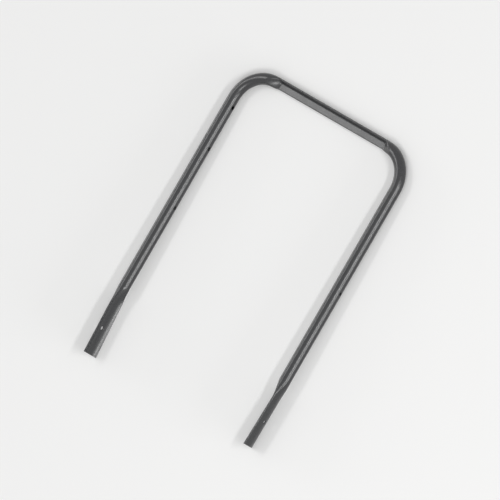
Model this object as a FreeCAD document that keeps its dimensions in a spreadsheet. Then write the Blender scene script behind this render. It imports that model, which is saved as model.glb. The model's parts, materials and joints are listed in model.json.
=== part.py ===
import FreeCAD, Part
import Sketcher
import math
import os

# Upper handle of a lawn mower: one steel tube, bent, pressed, flattened and pierced.
# Sizes are in millimetres and degrees. The tube is drawn in its own plane: X along the crossbar,
# Y up the legs to the crossbar's centreline at Y = 0, Z out of the plane on the operator's side.
SIZES = (
    ("tube_diameter", 25.4, "outside diameter of the tube"),
    ("wall", 1.5, "wall of the tube"),
    ("leg_spacing", 482.6, "between the centrelines of the legs"),
    ("bend_radius", 73.0, "centreline radius of the two bends"),
    ("foot_start", 533.5, "crossbar centreline to the start of the feet"),
    ("foot_length", 162.5, "length of a foot"),
    ("foot_ramp", 47.0, "length over which a foot goes from round to flat"),
    ("foot_width_top", 36.5, "width of a flattened foot below its ramp"),
    ("foot_width_end", 40.5, "width of a flattened foot at its end"),
    ("foot_slit", 0.4, "gap between the two pressed walls of a foot"),
    ("foot_saddle", 38.0, "radius to which a foot is curved across"),
    ("foot_lean", 9.0, "turn of a foot, its inner face towards the operator"),
    ("foot_drop_top", 4.5, "offset of a foot below the tube's plane, at its top"),
    ("foot_drop_end", 7.1, "offset of a foot below the tube's plane, at its end"),
    ("foot_toe", 4.9, "inward offset of a foot at its end"),
    ("foot_bulge", 55.0, "steepness of the blank's inner side before it is pressed"),
    ("ledge_margin", 13.3, "end of the ledge's flat floor to the start of the bend"),
    ("ledge_drop", 5.1, "ledge floor below the tube's plane"),
    ("ledge_wall_foot", 4.5, "foot of the ledge's wall, outward of the centreline"),
    ("ledge_wall_lean", 32.0, "lean of the ledge's wall from upright"),
    ("ledge_ramp_outer", 23.0, "lean of the ledge's ends from upright, at the tube's outer side"),
    ("ledge_ramp_inner", 66.0, "lean of the ledge's ends from upright, at the tube's inner side"),
    ("ledge_nose", 3.0, "rounding between the floor and the sides of the ledge"),
    ("ledge_corner", 6.0, "rounding between the wall and the ends of the ledge"),
    ("ledge_lip", 2.0, "rounding of the ledge's rim along the crossbar"),
    ("ledge_end_lip", 4.0, "rounding of the ledge's rim around its ends"),
    ("bail_hole_diameter", 9.0, "holes for the bail's ends, inner walls only"),
    ("bail_hole_drop", 92.5, "crossbar centreline to the bail's holes"),
    ("guide_hole_diameter", 8.7, "rope guide's bolt hole, first leg"),
    ("guide_hole_drop", 193.0, "crossbar centreline to the rope guide's hole"),
    ("bracket_hole_diameter", 8.0, "bracket's bolt hole, first leg"),
    ("bracket_hole_drop", 337.0, "crossbar centreline to the bracket's hole"),
    ("clip_hole_diameter", 6.5, "cable clip's hole, second leg"),
    ("clip_hole_drop", 320.0, "crossbar centreline to the cable clip's hole"),
    ("foot_hole_diameter", 8.7, "fastening holes of the feet"),
    ("foot_hole_drop", 634.5, "crossbar centreline to the fastening holes"),
    ("clearance", 7.0, "how far a cutting tool stands out past the tube"),
)
RAMP_RINGS = 7
NEAR = 1e-6

doc = FreeCAD.newDocument("mower_handle")
sheet = doc.addObject("Spreadsheet::Sheet", "sizes")
for row, (alias, value, note) in enumerate(SIZES, start=1):
    sheet.set(f"A{row}", note)
    sheet.set(f"B{row}", str(value))
    sheet.setAlias(f"B{row}", alias)
doc.recompute()


def size(alias):
    """Value of one of the driving sizes."""
    return float(sheet.get(alias))


def vector(x, y, z=0.0):
    """Point or direction, in the plane of a sketch unless z is given."""
    return FreeCAD.Vector(x, y, z)


def bind(thing, expressions):
    """Ties properties of an object to the sheet."""
    for name, expression in expressions.items():
        thing.setExpression(name, expression)


def draw(name, geometry, rules, dimensions):
    """Sketch of lines and arcs, held by rules and by dimensions tied to the sheet."""
    sketch = doc.addObject("Sketcher::SketchObject", name)
    sketch.addGeometry(geometry)
    for rule in rules:
        sketch.addConstraint(Sketcher.Constraint(*rule))
    for label, rule, expression in dimensions:
        index = sketch.addConstraint(Sketcher.Constraint(*rule))
        sketch.renameConstraint(index, label)
        sketch.setExpression(f"Constraints.{label}", expression)
    return sketch


def combine(kind, name, base, tool):
    """Cut or common part of two objects."""
    result = doc.addObject(kind, name)
    result.Base = base
    result.Tool = tool
    return result


def cut(name, base, tool):
    """One object less another."""
    return combine("Part::Cut", name, base, tool)


def round_edges(name, base, chosen):
    """Base with some of its edges rounded: each edge's number and the radius at its two ends."""
    rounded = doc.addObject("Part::Fillet", name)
    rounded.Base = base
    rounded.Edges = chosen
    return rounded


def fuse_all(name, shapes):
    """One solid from several objects."""
    result = doc.addObject("Part::MultiFuse", name)
    result.Shapes = shapes
    return result


# Tube run: the round tube and its bore, swept along the U

def centreline_sketch():
    """The U that the tube follows, from the start of one foot to the start of the other."""
    half = size("leg_spacing") / 2
    bend = size("bend_radius")
    low = -size("foot_start")
    run = half - bend
    upright = vector(0, 0, 1)
    first_bend = Part.Circle(vector(-run, -bend), upright, bend)
    second_bend = Part.Circle(vector(run, -bend), upright, bend)
    geometry = [
        Part.LineSegment(vector(-half, low), vector(-half, -bend)),
        Part.ArcOfCircle(first_bend, math.pi / 2, math.pi),
        Part.LineSegment(vector(-run, 0), vector(run, 0)),
        Part.ArcOfCircle(second_bend, 0, math.pi / 2),
        Part.LineSegment(vector(half, -bend), vector(half, low)),
    ]
    rules = (
        ("Tangent", 0, 2, 1, 2),
        ("Tangent", 1, 1, 2, 1),
        ("Tangent", 2, 2, 3, 2),
        ("Tangent", 3, 1, 4, 1),
        ("Vertical", 0),
        ("Vertical", 4),
        ("Horizontal", 2),
        ("Equal", 1, 3),
        ("PointOnObject", 2, 1, -1),
        ("Symmetric", 0, 1, 4, 2, -2),
    )
    dimensions = (
        ("spacing", ("DistanceX", 0, 1, 4, 2, 2 * half), "sizes.leg_spacing"),
        ("bend", ("Radius", 1, bend), "sizes.bend_radius"),
        ("reach", ("DistanceY", 0, 1, -1, 1, -low), "sizes.foot_start"),
    )
    return draw("centreline", geometry, rules, dimensions)


def round_run(name, spine, radius_expression):
    """Round bar along the U."""
    circle = Part.Circle(vector(0, 0), vector(0, 0, 1), size("tube_diameter") / 2)
    rules = (("Coincident", 0, 3, -1, 1),)
    dimensions = (("round", ("Radius", 0, circle.Radius), radius_expression),)
    section = draw(f"{name}_section", [circle], rules, dimensions)
    section.Placement = FreeCAD.Placement(vector(0, 0), FreeCAD.Rotation(vector(1, 0, 0), 90))
    bind(section, {
        "Placement.Base.x": "-sizes.leg_spacing / 2",
        "Placement.Base.y": "-sizes.foot_start",
    })
    run = doc.addObject("Part::Sweep", name)
    run.Sections = [section]
    run.Spine = (spine, ["Edge1", "Edge2", "Edge3", "Edge4", "Edge5"])
    run.Solid = True
    return run


spine = centreline_sketch()
tube_run = round_run("tube_run", spine, "sizes.tube_diameter / 2")
bore_run = round_run("bore_run", spine, "sizes.tube_diameter / 2 - sizes.wall")


# Ledge: the crossbar is pressed in on its operator's side, up to a wall that it leaves standing

LEDGE_HALF = "(sizes.leg_spacing / 2 - sizes.bend_radius - sizes.ledge_margin)"


def ledge_half():
    """Half length of the ledge's flat floor."""
    return size("leg_spacing") / 2 - size("bend_radius") - size("ledge_margin")


def corner_sketch(name, corners):
    """Four-sided outline, its corners tied to the sheet."""
    half = ledge_half()
    points = (vector(-half, -half), vector(half, -half), vector(half, half), vector(-half, half))
    geometry = [Part.LineSegment(points[i], points[(i + 1) % 4]) for i in range(4)]
    rules = [("Coincident", i, 2, (i + 1) % 4, 1) for i in range(4)]
    dimensions = []
    for i, (along, across) in enumerate(corners):
        dimensions.append((f"along{i}", ("DistanceX", -1, 1, i, 1, points[i].x), along))
        dimensions.append((f"across{i}", ("DistanceY", -1, 1, i, 1, points[i].y), across))
    return draw(name, geometry, rules, dimensions)


def ledge_prism(name, gap):
    """Bar along the crossbar with the ledge's floor and leaning wall, grown on each by a gap."""
    top = "sizes.tube_diameter / 2 + sizes.clearance"
    open_side = f"-({top})"
    floor = f"-sizes.ledge_drop - {gap}"
    lean = "sizes.ledge_wall_lean"
    wall_low = f"sizes.ledge_wall_foot + {gap} * (1 / cos({lean}) - tan({lean}))"
    wall_top = f"sizes.ledge_wall_foot + {gap} / cos({lean}) + ({top} + sizes.ledge_drop) * tan({lean})"
    corners = ((open_side, floor), (wall_low, floor), (wall_top, top), (open_side, top))
    section = corner_sketch(f"{name}_section", corners)
    section.Placement.Rotation = FreeCAD.Rotation(vector(1, 1, 1), 120)
    prism = doc.addObject("Part::Extrusion", f"{name}_prism")
    prism.Base = section
    prism.DirMode = "Normal"
    prism.Solid = True
    prism.Symmetric = True
    bind(prism, {"LengthFwd": "sizes.leg_spacing"})
    return prism


def ledge_block(name, gap):
    """Block with the ledge's skewed ends, their leans carried on to twice the tube's radius."""
    side = "sizes.tube_diameter"
    outer = "((3 * tan(sizes.ledge_ramp_outer) - tan(sizes.ledge_ramp_inner)) / 2)"
    inner = "((3 * tan(sizes.ledge_ramp_inner) - tan(sizes.ledge_ramp_outer)) / 2)"

    def outline(label, rise):
        """Outline of the block at a height above the ledge's floor."""
        ends = []
        for slope in (inner, outer):
            ends.append(f"({LEDGE_HALF} + {rise} * {slope} + {gap} * sqrt(1 + {slope} ^ 2))")
        corners = (
            (f"-{ends[0]}", f"-{side}"),
            (ends[0], f"-{side}"),
            (ends[1], side),
            (f"-{ends[1]}", side),
        )
        sketch = corner_sketch(f"{name}_{label}", corners)
        bind(sketch, {"Placement.Base.z": f"{rise} - sizes.ledge_drop"})
        return sketch

    block = doc.addObject("Part::Loft", f"{name}_block")
    block.Sections = [outline("low", "(-sizes.clearance)"), outline("high", f"({side} + sizes.clearance)")]
    block.Solid = True
    block.Ruled = True
    return block


def ledge_die(name, gap):
    """Die that presses the ledge, before its roundings."""
    return combine("Part::Common", name, ledge_prism(name, gap), ledge_block(name, gap))


def round_die(name, block, nose, corner):
    """The die with its nose and its two wall corners rounded."""
    doc.recompute()
    low = min(vertex.Point.z for vertex in block.Shape.Vertexes)
    chosen = []
    for number, edge in enumerate(block.Shape.Edges, start=1):
        heights = [vertex.Point.z for vertex in edge.Vertexes]
        depths = [vertex.Point.y for vertex in edge.Vertexes]
        on_floor = max(heights) < low + NEAR
        from_floor = min(heights) < low + NEAR
        if on_floor and max(depths) > 0:
            chosen.append((number, nose, nose))
        elif from_floor and min(depths) > 0:
            chosen.append((number, corner, corner))
    return round_edges(name, block, chosen)


die = round_die("rounded_die", ledge_die("die", "0"), size("ledge_nose"), size("ledge_corner"))
core = round_die("rounded_core", ledge_die("core", "sizes.wall"),
                 size("ledge_nose") + size("wall"), size("ledge_corner") + size("wall"))


def is_round(face):
    """Whether a face is part of the round tube."""
    radius = size("tube_diameter") / 2
    surface = face.Surface
    straight = isinstance(surface, Part.Cylinder) and abs(surface.Radius - radius) < NEAR
    bent = isinstance(surface, Part.Toroid) and abs(surface.MinorRadius - radius) < NEAR
    return straight or bent


def is_ledge(face):
    """Whether a face was pressed into the crossbar."""
    return not is_round(face) and face.CenterOfMass.y > -size("bend_radius")


def lip_radius(point):
    """Rounding of the ledge's rim at one point, which grows around the ledge's ends."""
    at_end = abs(point.x) > ledge_half() + size("ledge_corner")
    return size("ledge_end_lip") if at_end else size("ledge_lip")


def round_rim(name, base):
    """Pressed crossbar with the ledge's rim rounded, where it meets the round tube."""
    doc.recompute()
    chosen = []
    for number, edge in enumerate(base.Shape.Edges, start=1):
        faces = base.Shape.ancestorsOfType(edge, Part.Face)
        if any(is_round(face) for face in faces) and any(is_ledge(face) for face in faces):
            ends = (edge.valueAt(edge.FirstParameter), edge.valueAt(edge.LastParameter))
            chosen.append((number, *(lip_radius(point) for point in ends)))
    return round_edges(name, base, chosen)


# Feet: each leg flares and is pressed flat from its inner side, one wall onto the other

def smooth(share):
    """Share from 0 to 1 that starts and ends gently."""
    return share * share * (3 - 2 * share)


def foot_fold():
    """Thickness of a flattened foot."""
    return 2 * size("wall") + size("foot_slit")


def saddle_centre(width):
    """Distance from the chord of a foot to the centre that it is curved about."""
    half = width / 2 - foot_fold() / 2
    return math.sqrt(size("foot_saddle") ** 2 - half ** 2)


def foot_ring(drop, flatness, width, offset, inset):
    """Outline of the unpressed foot, between the round tube (0) and the full flare (1)."""
    radius = size("tube_diameter") / 2
    rim = foot_fold() / 2
    half = width / 2 - rim
    saddle = size("foot_saddle")
    spread = math.asin(half / saddle)
    bulge = math.radians(size("foot_bulge"))
    arcs = (
        ((-half / math.tan(bulge), 0), half / math.sin(bulge) + rim, -bulge, bulge),
        ((0, half), rim, bulge, math.pi - spread),
        ((saddle_centre(width), 0), saddle + rim, math.pi - spread, math.pi + spread),
        ((0, -half), rim, math.pi + spread, 2 * math.pi - bulge),
    )
    lean = FreeCAD.Rotation(vector(0, 0, 1), flatness * size("foot_lean"))
    edges = []
    for centre, full_radius, start, end in arcs:
        arc_radius = radius + flatness * (full_radius - radius) - inset
        points = []
        for angle in (start, (start + end) / 2, end):
            across = flatness * centre[0] + arc_radius * math.cos(angle)
            upward = flatness * centre[1] + arc_radius * math.sin(angle)
            point = vector(across, upward)
            turned = lean.multVec(point) + flatness * offset
            points.append(vector(turned.x - size("leg_spacing") / 2, -drop, turned.y))
        edges.append(Part.Arc(*points).toShape())
    return Part.Wire(edges)


def foot_blank(name, inset, overrun):
    """Flared foot of the first leg before pressing, or the hollow inside it."""
    start = size("foot_start")
    ramp = size("foot_ramp")
    flat = size("foot_length") - ramp
    top_offset = vector(0, -size("foot_drop_top"))
    end_offset = vector(size("foot_toe"), -size("foot_drop_end"))
    rings = []
    for step in range(RAMP_RINGS):
        share = step / (RAMP_RINGS - 1)
        drop = start + share * ramp
        rings.append(foot_ring(drop, smooth(share), size("foot_width_top"), top_offset, inset))
    stretch = 1 + overrun / flat
    end_width = size("foot_width_top") + stretch * (size("foot_width_end") - size("foot_width_top"))
    past_offset = top_offset + stretch * (end_offset - top_offset)
    end = foot_ring(start + ramp + stretch * flat, 1, end_width, past_offset, inset)
    flare = Part.makeLoft(rings, True)
    strip = Part.makeLoft([rings[-1], end], True, True)
    blank = doc.addObject("Part::Feature", name)
    blank.Shape = flare.fuse(strip)
    return blank


def foot_punch(name, gap):
    """Barrel-nosed punch that presses the inner wall of the first leg's foot, grown by a gap."""
    start = size("foot_start")
    ramp = size("foot_ramp")
    flat = size("foot_length") - ramp
    lean = math.radians(size("foot_lean"))

    def axis_point(width, toe, drop, along):
        """Point of the punch's axis beside one end of the flat."""
        reach = saddle_centre(width)
        across = toe + reach * math.cos(lean) - size("leg_spacing") / 2
        return vector(across, -along, reach * math.sin(lean) - drop)

    top = axis_point(size("foot_width_top"), 0, size("foot_drop_top"), start + ramp)
    low = axis_point(size("foot_width_end"), size("foot_toe"), size("foot_drop_end"), start + ramp + flat)
    up = (top - low).normalize()
    apex = top + up * ramp - vector(-size("leg_spacing") / 2, -start)
    touch = math.hypot(apex.x, apex.z) - size("tube_diameter") / 2
    barrel = size("foot_saddle") - foot_fold() / 2
    fall = barrel - touch
    nose = (ramp ** 2 + fall ** 2) / (2 * fall)
    height = ramp + size("clearance")
    depth = flat + 2 * size("clearance")
    radius = barrel + gap
    tip = barrel - nose + math.sqrt((nose + gap) ** 2 - height ** 2)
    middle = math.asin(height / 2 / (nose + gap))
    bow = vector(barrel - nose + (nose + gap) * math.cos(middle), (nose + gap) * math.sin(middle))
    outline = Part.Wire([
        Part.makeLine(vector(0, -depth), vector(radius, -depth)),
        Part.makeLine(vector(radius, -depth), vector(radius, 0)),
        Part.Arc(vector(radius, 0), bow, vector(tip, height)).toShape(),
        Part.makeLine(vector(tip, height), vector(0, height)),
        Part.makeLine(vector(0, height), vector(0, -depth)),
    ])
    punch = doc.addObject("Part::Feature", name)
    punch.Shape = Part.Face(outline).revolve(vector(0, 0), vector(0, 1, 0), 360)
    punch.Placement = FreeCAD.Placement(top, FreeCAD.Rotation(vector(0, 1, 0), up))
    return punch


def mirrored(name, source):
    """The same form on the other leg."""
    result = doc.addObject("Part::Mirroring", name)
    result.Source = source
    result.Normal = vector(1, 0, 0)
    return result


first_foot = cut("first_foot", foot_blank("foot_blank", 0, 0), foot_punch("foot_punch", 0))
second_foot = mirrored("second_foot", first_foot)
hollow_blank = foot_blank("hollow_blank", size("wall"), size("clearance"))
first_hollow = cut("first_hollow", hollow_blank, foot_punch("hollow_punch", size("wall")))
second_hollow = mirrored("second_hollow", first_hollow)

# Tube: the formed outside less the formed hollow
outside = cut("formed_outside", fuse_all("outside_run", [tube_run, first_foot, second_foot]), die)
outside = round_rim("rounded_outside", outside)
inside = cut("formed_hollow", fuse_all("hollow_run", [bore_run, first_hollow, second_hollow]), core)
shell = cut("formed_tube", outside, inside)

# Holes: all lie along X, across the legs and the feet
SPAN = "(sizes.tube_diameter + 2 * sizes.clearance)"
FIRST_LEG = "-sizes.leg_spacing / 2"
SECOND_LEG = "sizes.leg_spacing / 2"


def drill_hole(name, kind, start, length):
    """Drill for one hole of a kind, from a start along X."""
    drill = doc.addObject("Part::Cylinder", name)
    drill.Placement = FreeCAD.Placement(vector(0, 0), FreeCAD.Rotation(vector(0, 1, 0), 90))
    bind(drill, {
        "Radius": f"sizes.{kind}_hole_diameter / 2",
        "Height": length,
        "Placement.Base.x": start,
        "Placement.Base.y": f"-sizes.{kind}_hole_drop",
    })
    return drill


def drill_leg(name, kind, leg):
    """Drill for a hole through both walls of a leg."""
    return drill_hole(name, kind, f"{leg} - {SPAN} / 2", SPAN)


def drill_foot(name, leg):
    """Drill for a fastening hole, through the middle of a foot."""
    flat = size("foot_length") - size("foot_ramp")
    share = (size("foot_hole_drop") - size("foot_start") - size("foot_ramp")) / flat
    width = size("foot_width_top") + share * (size("foot_width_end") - size("foot_width_top"))
    drop = size("foot_drop_top") + share * (size("foot_drop_end") - size("foot_drop_top"))
    sag = size("foot_saddle") - saddle_centre(width)
    drill = drill_leg(name, "foot", leg)
    drill.Placement.Base.z = -drop - sag * math.sin(math.radians(size("foot_lean")))
    return drill


drills = [
    drill_hole("first_bail_hole", "bail", FIRST_LEG, f"{SPAN} / 2"),
    drill_hole("second_bail_hole", "bail", f"{SECOND_LEG} - {SPAN} / 2", f"{SPAN} / 2"),
    drill_leg("guide_hole", "guide", FIRST_LEG),
    drill_leg("bracket_hole", "bracket", FIRST_LEG),
    drill_leg("clip_hole", "clip", SECOND_LEG),
    drill_foot("first_foot_hole", FIRST_LEG),
    drill_foot("second_foot_hole", SECOND_LEG),
]
handle = cut("handle_tube", shell, fuse_all("drills", drills))
handle.Label = "handle_tube"


# Rest: the handle lies on its back, on the crossbar and the feet's lower edges

def rest_placement():
    """Tips the tube's plane until the crossbar and both feet touch Z = 0, centred on the origin."""
    radius = size("tube_diameter") / 2
    reach = size("foot_start") + size("foot_length")
    rim = foot_fold() / 2
    lean = math.radians(size("foot_lean"))
    depth = size("foot_drop_end") + (size("foot_width_end") / 2 - rim) * math.cos(lean) + rim
    tip = math.atan2(depth, reach) - math.asin(radius / math.hypot(reach, depth))
    length = radius + reach * math.cos(tip) + depth * math.sin(tip)
    turn = FreeCAD.Rotation(vector(1, 0, 0), -math.degrees(tip))
    return FreeCAD.Placement(vector(0, length / 2 - radius, radius), turn)


handle.Placement = rest_placement()
doc.recompute()

for thing in doc.Objects:
    if {"Invalid", "Error"} & set(thing.State):
        raise RuntimeError(f"{thing.Name} failed: {thing.State}")
if handle.Shape.isNull() or not handle.Shape.isValid() or len(handle.Shape.Solids) != 1:
    raise RuntimeError("the handle is not one sound solid")
os.makedirs("parts", exist_ok=True)
handle.Shape.exportStep("parts/handle_tube.step")
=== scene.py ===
import json
import math

import bpy
from mathutils import Matrix, Vector

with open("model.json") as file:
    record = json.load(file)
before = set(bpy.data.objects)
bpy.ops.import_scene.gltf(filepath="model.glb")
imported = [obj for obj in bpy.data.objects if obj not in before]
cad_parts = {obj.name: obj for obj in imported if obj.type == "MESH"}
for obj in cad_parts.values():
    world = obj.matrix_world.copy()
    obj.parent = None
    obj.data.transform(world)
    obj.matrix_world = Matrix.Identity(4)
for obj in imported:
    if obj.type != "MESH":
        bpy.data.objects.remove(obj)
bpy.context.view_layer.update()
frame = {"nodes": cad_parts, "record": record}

bl_info = {
    "name": "Mower Handle",
    "version": (1, 0, 0),
    "blender": (4, 5, 0),
    "location": "View3D > Sidebar > Mower Handle",
    "description": "Powder coat and studio for the upper handle of a lawn mower",
    "category": "Object",
}

TUBE = "handle_tube"

# Powder coat: noise of each kind, and what it does to the colour, the gloss and the height
COAT_IOR = 1.58
PEEL_DETAIL = 2.0
GRAIN_DETAIL = 1.0
CLOUD_SCALE = 9.0
CLOUD_DETAIL = 3.0
SMEAR_SCALE = 38.0
SMEAR_DETAIL = 5.0
SMEAR_ROUGHNESS = 0.62
CLOUD_SHADE = (0.86, 1.14)
GRAIN_SHADE = (-0.12, 0.12)
# How much lighter the coat is on the edges: partly a thinner film there, partly a painted
# highlight
EDGE_FILM_AND_HIGHLIGHT = 0.9
SMEAR_GLOSS = (-0.05, 0.05)
GRAIN_GLOSS = (-0.04, 0.04)
GRAIN_HEIGHT = 0.18
# An edge begins where the softened normal leaves the true one by the first cosine
EDGE_COSINES = (0.98, 0.80)
EDGE_SAMPLES = 6

# Studio, in metres
FLOOR_ROUGHNESS = 0.9
FLOOR_SPECULAR = 0.0
CAMERA_DISTANCE = 3.0
BACKDROP_COLOUR = (1.0, 1.0, 1.0, 1.0)
BACKDROP_LIGHT = 0.50
BACKDROP_SEEN = 0.88
# Soft lights: name, direction from the handle, distance, length, width and radiance
LIGHTS = (
    ("key", (0.80, 0.12, 0.55), 12.0, 6.0, 0.72, 34.0),
    ("low", (0.97, 0.0, 0.14), 12.0, 8.0, 2.0, 10.0),
    ("left", (-0.60, 0.0, 0.80), 12.0, 6.0, 1.8, 6.5),
    ("near", (0.48, -0.45, 0.75), 12.0, 4.0, 2.8, 9.0),
    ("side", (-0.98, 0.0, 0.16), 12.0, 6.0, 1.6, 6.0),
)


def mount(name):
    """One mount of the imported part."""
    return next(entry for entry in frame["record"]["mounts"] if entry["name"] == name)


# Settings that a user would change

class HandleCoat(bpy.types.PropertyGroup):
    """Powder coat of the tube"""

    colour: bpy.props.FloatVectorProperty(
        name="Colour",
        description="Colour of the powder coat",
        subtype="COLOR",
        size=3,
        min=0.0,
        max=1.0,
        default=(0.019, 0.0195, 0.021),
    )
    roughness: bpy.props.FloatProperty(
        name="Roughness",
        description="How matt the satin coat is",
        subtype="FACTOR",
        min=0.0,
        max=1.0,
        default=0.27,
    )
    peel_width: bpy.props.FloatProperty(
        name="Peel width",
        description="Width of the ripples that the powder leaves as it flows",
        unit="LENGTH",
        min=0.0001,
        default=0.0022,
    )
    peel_height: bpy.props.FloatProperty(
        name="Peel height",
        description="Height of those ripples",
        unit="LENGTH",
        min=0.0,
        default=0.00004,
    )
    grain_width: bpy.props.FloatProperty(
        name="Grain width",
        description="Width of the fine grain of the coat",
        unit="LENGTH",
        min=0.00005,
        default=0.00045,
    )
    edge_radius: bpy.props.FloatProperty(
        name="Edge radius",
        description="Radius to which the coat softens the pressed and pierced edges",
        unit="LENGTH",
        min=0.0,
        default=0.0009,
    )


class HandleStage(bpy.types.PropertyGroup):
    """Floor and camera"""

    floor_colour: bpy.props.FloatVectorProperty(
        name="Floor",
        description="Colour of the floor",
        subtype="COLOR",
        size=3,
        min=0.0,
        max=1.0,
        default=(0.86, 0.86, 0.855),
    )
    floor_width: bpy.props.FloatProperty(
        name="Floor width",
        description="Side of the square floor",
        unit="LENGTH",
        min=1.0,
        default=30.0,
    )
    view_elevation: bpy.props.FloatProperty(
        name="Elevation",
        description="Angle of the view above the plane of the handle, as in an isometric drawing",
        unit="ROTATION",
        default=math.asin(math.sqrt(2 / 3)),
    )
    view_roll: bpy.props.FloatProperty(
        name="Roll",
        description="Turn of the picture that sets the legs on one of the isometric axes",
        unit="ROTATION",
        default=math.radians(-60.0),
    )
    view_width: bpy.props.FloatProperty(
        name="View width",
        description="Width that the camera takes in",
        unit="LENGTH",
        min=0.1,
        default=1.0583,
    )
    view_aim: bpy.props.FloatVectorProperty(
        name="Aim",
        description="Point at the middle of the picture",
        subtype="XYZ",
        unit="LENGTH",
        size=3,
        default=(-0.0072, 0.0073, 0.0191),
    )


# Shader helpers

def add_node(tree, kind, settings=None, inputs=None):
    """Node of one kind, with its settings, its fixed values and its links."""
    node = tree.nodes.new(kind)
    for name, value in (settings or {}).items():
        setattr(node, name, value)
    for name, value in (inputs or {}).items():
        if isinstance(value, bpy.types.NodeSocket):
            tree.links.new(value, node.inputs[name])
        else:
            node.inputs[name].default_value = value
    return node


def noise(tree, place, scale, detail, roughness=0.5):
    """Noise of a scale, as a value from 0 to 1."""
    values = {"Vector": place, "Scale": scale, "Detail": detail, "Roughness": roughness}
    return add_node(tree, "ShaderNodeTexNoise", inputs=values).outputs["Fac"]


def spread(tree, value, low, high):
    """Value from 0 to 1 brought to a range."""
    values = {"Value": value, "To Min": low, "To Max": high}
    return add_node(tree, "ShaderNodeMapRange", inputs=values).outputs["Result"]


def calculate(tree, operation, first, second):
    """Sum, product or larger of two values."""
    node = add_node(tree, "ShaderNodeMath", {"operation": operation}, {0: first, 1: second})
    return node.outputs[0]


def shader_group(name, inputs, outputs):
    """Empty node group with its sockets, and its two end nodes."""
    group = bpy.data.node_groups.new(name, "ShaderNodeTree")
    for label, kind in inputs:
        group.interface.new_socket(label, in_out="INPUT", socket_type=kind)
    for label, kind in outputs:
        group.interface.new_socket(label, in_out="OUTPUT", socket_type=kind)
    start = group.nodes.new("NodeGroupInput")
    end = group.nodes.new("NodeGroupOutput")
    return group, start.outputs, end.inputs


def powder_group():
    """Powder coat: cloudy colour, ripples, grain, and edges made lighter, partly for a thinner
    film and partly as a painted highlight.
    """
    group, given, result = shader_group(
        "powder_coat",
        (
            ("Place", "NodeSocketVector"),
            ("Colour", "NodeSocketColor"),
            ("Roughness", "NodeSocketFloat"),
            ("Peel Scale", "NodeSocketFloat"),
            ("Grain Scale", "NodeSocketFloat"),
            ("Edge", "NodeSocketFloat"),
        ),
        (
            ("Colour", "NodeSocketColor"),
            ("Roughness", "NodeSocketFloat"),
            ("Height", "NodeSocketFloat"),
        ),
    )
    place = given["Place"]
    ripples = noise(group, place, given["Peel Scale"], PEEL_DETAIL)
    grain = noise(group, place, given["Grain Scale"], GRAIN_DETAIL)
    clouds = noise(group, place, CLOUD_SCALE, CLOUD_DETAIL)
    smears = noise(group, place, SMEAR_SCALE, SMEAR_DETAIL, SMEAR_ROUGHNESS)

    cloudy = spread(group, clouds, *CLOUD_SHADE)
    shade = calculate(group, "ADD", cloudy, spread(group, grain, *GRAIN_SHADE))
    # Lighter edges: partly the thinner film there, partly a painted highlight
    edge_film_and_painted_highlight = calculate(group, "MULTIPLY", given["Edge"], EDGE_FILM_AND_HIGHLIGHT)
    shade = calculate(group, "ADD", shade, edge_film_and_painted_highlight)
    values = {0: given["Colour"], "Scale": shade}
    tint = add_node(group, "ShaderNodeVectorMath", {"operation": "SCALE"}, values)
    group.links.new(tint.outputs[0], result["Colour"])

    gloss = calculate(group, "ADD", given["Roughness"], spread(group, smears, *SMEAR_GLOSS))
    gloss = calculate(group, "ADD", gloss, spread(group, grain, *GRAIN_GLOSS))
    group.links.new(gloss, result["Roughness"])

    fine = calculate(group, "MULTIPLY", grain, GRAIN_HEIGHT)
    height = calculate(group, "ADD", ripples, fine)
    group.links.new(height, result["Height"])
    return group


def coat_material(coat):
    """Satin powder coat over pressed steel."""
    material = bpy.data.materials.new("powder_coat")
    material.use_nodes = True
    tree = material.node_tree
    surface = tree.nodes["Principled BSDF"]
    place = add_node(tree, "ShaderNodeTexCoord").outputs["Object"]
    bevel = add_node(
        tree, "ShaderNodeBevel", {"samples": EDGE_SAMPLES}, {"Radius": coat.edge_radius}
    )
    soft = bevel.outputs["Normal"]
    true = add_node(tree, "ShaderNodeNewGeometry").outputs["Normal"]
    turn = add_node(
        tree, "ShaderNodeVectorMath", {"operation": "DOT_PRODUCT"}, {0: soft, 1: true}
    )
    # Mask of the edges that the coat makes lighter: partly a thinner film, partly a painted
    # highlight
    begins, full = EDGE_COSINES
    edge = add_node(tree, "ShaderNodeMapRange", inputs={
        "Value": turn.outputs["Value"],
        "From Min": begins,
        "From Max": full,
    }).outputs["Result"]
    powder = add_node(tree, "ShaderNodeGroup", {"node_tree": powder_group()}, {
        "Place": place,
        "Colour": (*coat.colour, 1.0),
        "Roughness": coat.roughness,
        "Peel Scale": 1 / coat.peel_width,
        "Grain Scale": 1 / coat.grain_width,
        "Edge": edge,
    })
    bump = add_node(tree, "ShaderNodeBump", inputs={
        "Distance": coat.peel_height,
        "Height": powder.outputs["Height"],
        "Normal": soft,
    })
    surface.inputs["IOR"].default_value = COAT_IOR
    tree.links.new(powder.outputs["Colour"], surface.inputs["Base Color"])
    tree.links.new(powder.outputs["Roughness"], surface.inputs["Roughness"])
    tree.links.new(bump.outputs["Normal"], surface.inputs["Normal"])
    return material


# The handle

class HANDLE_OT_coat_tube(bpy.types.Operator):
    """Gives the bent tube its powder coat"""

    bl_idname = "handle.coat_tube"
    bl_label = "Coat Tube"

    def execute(self, context):
        tube = frame["nodes"][TUBE]
        tube.data.materials.clear()
        tube.data.materials.append(coat_material(context.scene.handle_coat))
        return {"FINISHED"}


# The stage

def floor_material(colour):
    """Plain matt floor."""
    material = bpy.data.materials.new("floor")
    material.use_nodes = True
    surface = material.node_tree.nodes["Principled BSDF"]
    surface.inputs["Base Color"].default_value = (*colour, 1.0)
    surface.inputs["Roughness"].default_value = FLOOR_ROUGHNESS
    surface.inputs["Specular IOR Level"].default_value = FLOOR_SPECULAR
    return material


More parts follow.
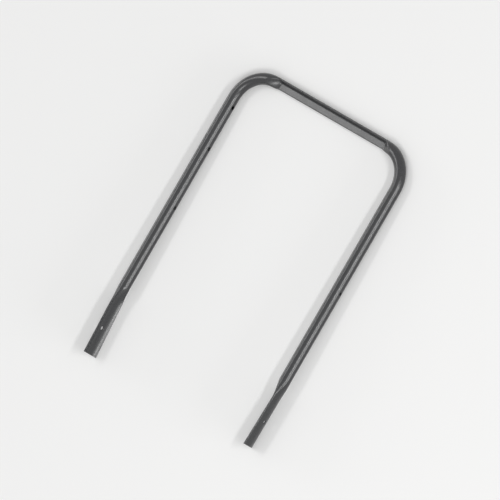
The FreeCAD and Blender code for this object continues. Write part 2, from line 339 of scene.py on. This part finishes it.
def make_floor(stage):
    """Square floor under the handle."""
    half = stage.floor_width / 2
    corners = [(-half, -half, 0), (half, -half, 0), (half, half, 0), (-half, half, 0)]
    mesh = bpy.data.meshes.new("floor")
    mesh.from_pydata(corners, [], [(0, 1, 2, 3)])
    floor = bpy.data.objects.new("floor", mesh)
    mesh.materials.append(floor_material(stage.floor_colour))
    bpy.context.scene.collection.objects.link(floor)


def make_light(name, direction, distance, length, width, radiance):
    """Soft strip light, turned to the handle."""
    lamp = bpy.data.lights.new(name, "AREA")
    lamp.shape = "RECTANGLE"
    lamp.size = length
    lamp.size_y = width
    lamp.energy = radiance * math.pi * length * width
    light = bpy.data.objects.new(name, lamp)
    light.location = Vector(direction).normalized() * distance
    light.rotation_euler = (-light.location).to_track_quat("-Z", "Y").to_euler()
    bpy.context.scene.collection.objects.link(light)


def make_world():
    """Pale backdrop for the camera and in reflections, dimmer light on the object."""
    world = bpy.data.worlds.new("studio")
    world.use_nodes = True
    tree = world.node_tree
    tree.nodes.clear()
    rays = add_node(tree, "ShaderNodeLightPath").outputs
    seen = calculate(tree, "MAXIMUM", rays["Is Camera Ray"], rays["Is Transmission Ray"])
    seen = calculate(tree, "MAXIMUM", seen, rays["Is Glossy Ray"])
    sky = add_node(tree, "ShaderNodeBackground", inputs={
        "Color": BACKDROP_COLOUR,
        "Strength": spread(tree, seen, BACKDROP_LIGHT, BACKDROP_SEEN),
    })
    output = tree.nodes.new("ShaderNodeOutputWorld")
    tree.links.new(sky.outputs[0], output.inputs["Surface"])
    bpy.context.scene.world = world


def make_camera(stage):
    """Parallel view at the drawing's angle to the plane of the handle."""
    up = Vector(mount("bail_seat")["axis"])
    along = Vector((1, 0, 0))
    across = Vector((0, 1, 0))
    upright = Matrix((along, up.cross(along), up)).transposed()
    back = Vector((math.cos(stage.view_elevation), 0, math.sin(stage.view_elevation)))
    level = Matrix((across, back.cross(across), back)).transposed()
    turn = upright @ level @ Matrix.Rotation(stage.view_roll, 3, "Z")
    place = Vector(stage.view_aim) + upright @ back * CAMERA_DISTANCE
    lens = bpy.data.cameras.new("camera")
    lens.type = "ORTHO"
    lens.ortho_scale = stage.view_width
    camera = bpy.data.objects.new("camera", lens)
    camera.matrix_world = Matrix.Translation(place) @ turn.to_4x4()
    bpy.context.scene.collection.objects.link(camera)
    bpy.context.scene.camera = camera


class HANDLE_OT_set_stage(bpy.types.Operator):
    """Makes the floor, the lights, the backdrop and the camera"""

    bl_idname = "handle.set_stage"
    bl_label = "Set Stage"

    def execute(self, context):
        stage = context.scene.handle_stage
        make_floor(stage)
        for light in LIGHTS:
            make_light(*light)
        make_world()
        make_camera(stage)
        context.scene.view_settings.view_transform = "Standard"
        return {"FINISHED"}


class HANDLE_PT_panel(bpy.types.Panel):
    """Settings of the handle and its studio"""

    bl_label = "Mower Handle"
    bl_idname = "HANDLE_PT_panel"
    bl_space_type = "VIEW_3D"
    bl_region_type = "UI"
    bl_category = "Mower Handle"

    def draw(self, context):
        for settings, operator in (
            (context.scene.handle_coat, "handle.coat_tube"),
            (context.scene.handle_stage, "handle.set_stage"),
        ):
            box = self.layout.box()
            for name in settings.__annotations__:
                box.prop(settings, name)
            box.operator(operator)


CLASSES = (HandleCoat, HandleStage, HANDLE_OT_coat_tube, HANDLE_OT_set_stage, HANDLE_PT_panel)


def register():
    """Adds the settings, the operators and the panel."""
    for kind in CLASSES:
        bpy.utils.register_class(kind)
    bpy.types.Scene.handle_coat = bpy.props.PointerProperty(type=HandleCoat)
    bpy.types.Scene.handle_stage = bpy.props.PointerProperty(type=HandleStage)


def unregister():
    """Takes them away again."""
    del bpy.types.Scene.handle_stage
    del bpy.types.Scene.handle_coat
    for kind in reversed(CLASSES):
        bpy.utils.unregister_class(kind)


def main():
    """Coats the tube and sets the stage."""
    register()
    bpy.ops.handle.coat_tube()
    bpy.ops.handle.set_stage()


if __name__ == "__main__":
    main()
